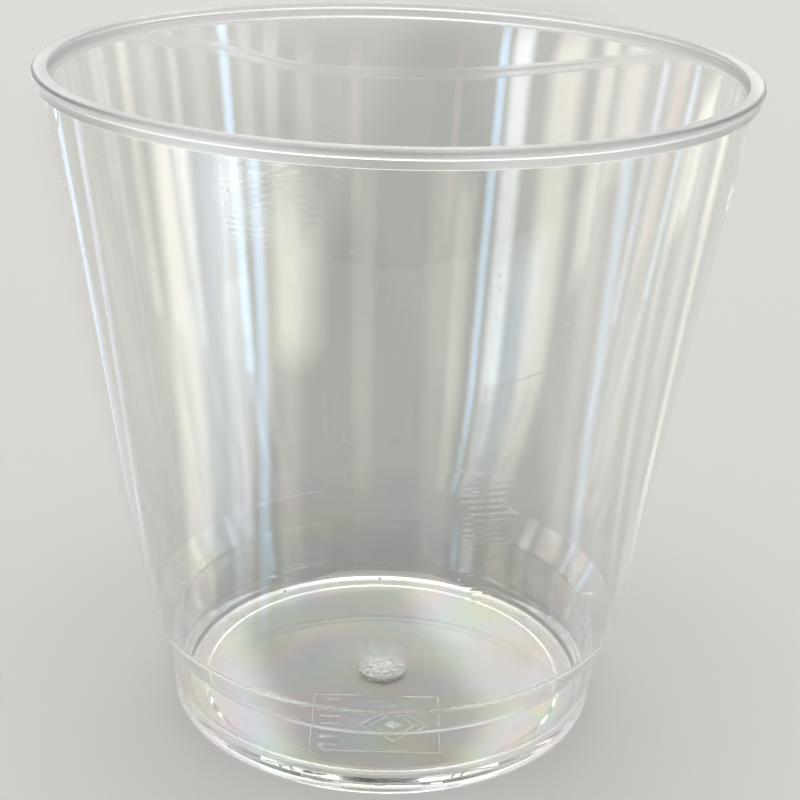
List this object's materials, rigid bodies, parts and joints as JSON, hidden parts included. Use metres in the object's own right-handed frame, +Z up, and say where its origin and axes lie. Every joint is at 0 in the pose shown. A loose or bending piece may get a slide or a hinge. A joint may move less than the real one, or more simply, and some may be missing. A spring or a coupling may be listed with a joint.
{
  "type": "clear plastic tumbler cup",
  "caption": "Squat clear moulded tumbler: tapered round wall, beaded rim, stacking shoulder above a short foot, and a floor recessed underneath.",
  "frame": {"origin": "centre of the foot, on the plane that the cup stands on", "axes": "+Z up along the cup's axis to the rim; the framed field under the floor lies towards -Y"},
  "size_m": [0.086, 0.086, 0.0845],
  "materials": {
    "clear_plastic": "gloss"
  },
  "bodies": {
    "root": {"tumbler": "clear_plastic"}
  },
  "joints": []
}
